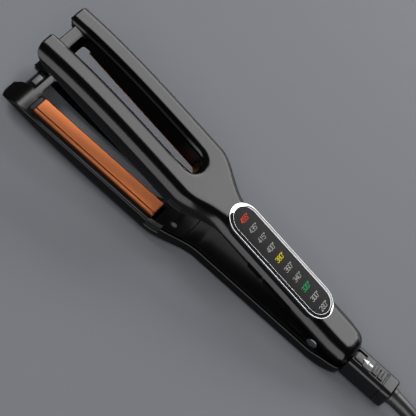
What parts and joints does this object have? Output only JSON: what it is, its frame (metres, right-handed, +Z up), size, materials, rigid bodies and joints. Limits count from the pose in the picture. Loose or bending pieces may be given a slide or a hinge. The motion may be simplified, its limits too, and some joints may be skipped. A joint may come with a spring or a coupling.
{
  "type": "hair straightener",
  "caption": "Hair straightener with two forked arms on a tail hinge, copper-coloured sprung plates, a lit temperature panel, a sliding lock and a mains cord.",
  "frame": {"origin": "middle of the bounding box of the part without its cord, on the plane that it rests on", "axes": "+X along the arms towards the tail and the cord, +Y across to the side away from the buttons, +Z up from the lower arm's outer face; the upper arm is open"},
  "size_m": [0.5645, 0.0651, 0.0644],
  "materials": {
    "shell": "polished, soft sheen",
    "frame": "fine satin",
    "vent": "satin",
    "screw": "darkened",
    "cover": "satin",
    "tab": "satin",
    "button": "satin",
    "board": "laminate",
    "switch": "plain",
    "light": "clear cap",
    "mark": "lit figures in red, yellow, green and grey",
    "window": "fine satin",
    "ring": "polished",
    "plate": "copper-coloured satin coating",
    "heater": "fired white",
    "tray": "heat-proof, plain",
    "cushion": "silicone",
    "pin": "darkened, turned heads",
    "spring": "bright wire",
    "sleeve": "polished, soft sheen",
    "slider": "satin with ridges",
    "bush": "matt",
    "lead": "insulated wire",
    "clamp": "plain",
    "relief": "satin",
    "cord": "satin",
    "tie": "woven nylon strap",
    "plug": "satin",
    "blade": "nickel plated"
  },
  "bodies": {
    "lower_arm": {"lower_shell": "shell", "lower_inner_frame": "frame", "lower_vents": "vent", "lower_frame_screws": "screw", "lower_handle_cover": "cover", "locating_tab": "tab", "lower_cushions_near": "cushion", "lower_cushions_far": "cushion", "hinge_pin": "pin", "hinge_spring": "spring", "tail_sleeve": "sleeve", "tail_collar": "sleeve", "cord_bush": "bush", "power_leads": "lead", "lead_clamp": "clamp", "strain_relief": "relief", "cord_run": "cord", "cord_hank": "cord", "cord_end": "cord", "cord_tie": "tie", "plug_body": "plug", "plug_blades": "blade"},
    "upper_arm": {"upper_shell": "shell", "upper_inner_frame": "frame", "upper_vents": "vent", "upper_frame_screws": "screw", "upper_handle_cover": "cover", "upper_cushions_near": "cushion", "upper_cushions_far": "cushion", "circuit_board": "board", "button_switches": "switch", "indicator_lights": "light", "temperature_marks": "mark", "panel_window": "window", "panel_ring": "ring"},
    "lower_near_plate": {"lower_plate_near": "plate", "lower_heater_near": "heater", "lower_tray_near": "tray"},
    "lower_far_plate": {"lower_plate_far": "plate", "lower_heater_far": "heater", "lower_tray_far": "tray"},
    "upper_near_plate": {"upper_plate_near": "plate", "upper_heater_near": "heater", "upper_tray_near": "tray"},
    "upper_far_plate": {"upper_plate_far": "plate", "upper_heater_far": "heater", "upper_tray_far": "tray"},
    "power_key": {"power_button": "button"},
    "minus_key": {"minus_button": "button"},
    "plus_key": {"plus_button": "button"},
    "lock": {"lock_slider": "slider"}
  },
  "joints": [
    {"name": "arm_hinge", "type": "hinge", "parent": "lower_arm", "child": "upper_arm", "pos_m": [0.0913, 0, 0.0129], "axis": [0, 1, 0], "range_deg": [-9.3, 0], "stiffness_Nm_per_rad": 0.6, "springref_deg": 34.38, "deforming": ["hinge_spring"]},
    {"name": "lower_near_plate_slide", "type": "slide", "parent": "lower_arm", "child": "lower_near_plate", "axis": [0, 0, -1], "range_m": [0, 0.0009], "stiffness_N_per_m": 2500, "springref_m": -0.0006, "deforming": ["lower_cushions_near"]},
    {"name": "lower_far_plate_slide", "type": "slide", "parent": "lower_arm", "child": "lower_far_plate", "axis": [0, 0, -1], "range_m": [0, 0.0009], "stiffness_N_per_m": 2500, "springref_m": -0.0006, "deforming": ["lower_cushions_far"]},
    {"name": "upper_near_plate_slide", "type": "slide", "parent": "upper_arm", "child": "upper_near_plate", "axis": [0.1616, 0, 0.9869], "range_m": [0, 0.0009], "stiffness_N_per_m": 2500, "springref_m": -0.0006, "deforming": ["upper_cushions_near"]},
    {"name": "upper_far_plate_slide", "type": "slide", "parent": "upper_arm", "child": "upper_far_plate", "axis": [0.1616, 0, 0.9869], "range_m": [0, 0.0009], "stiffness_N_per_m": 2500, "springref_m": -0.0006, "deforming": ["upper_cushions_far"]},
    {"name": "power_button_press", "type": "slide", "parent": "upper_arm", "child": "power_key", "axis": [0.1616, 0, 0.9869], "range_m": [0, 0.0006], "stiffness_N_per_m": 1500, "springref_m": -0.0006},
    {"name": "minus_button_press", "type": "slide", "parent": "upper_arm", "child": "minus_key", "axis": [0.1616, 0, 0.9869], "range_m": [0, 0.0006], "stiffness_N_per_m": 1500, "springref_m": -0.0006},
    {"name": "plus_button_press", "type": "slide", "parent": "upper_arm", "child": "plus_key", "axis": [0.1616, 0, 0.9869], "range_m": [0, 0.0006], "stiffness_N_per_m": 1500, "springref_m": -0.0006},
    {"name": "lock_slide", "type": "slide", "parent": "lower_arm", "child": "lock", "axis": [-1, 0, 0], "range_m": [0, 0.005]}
  ]
}
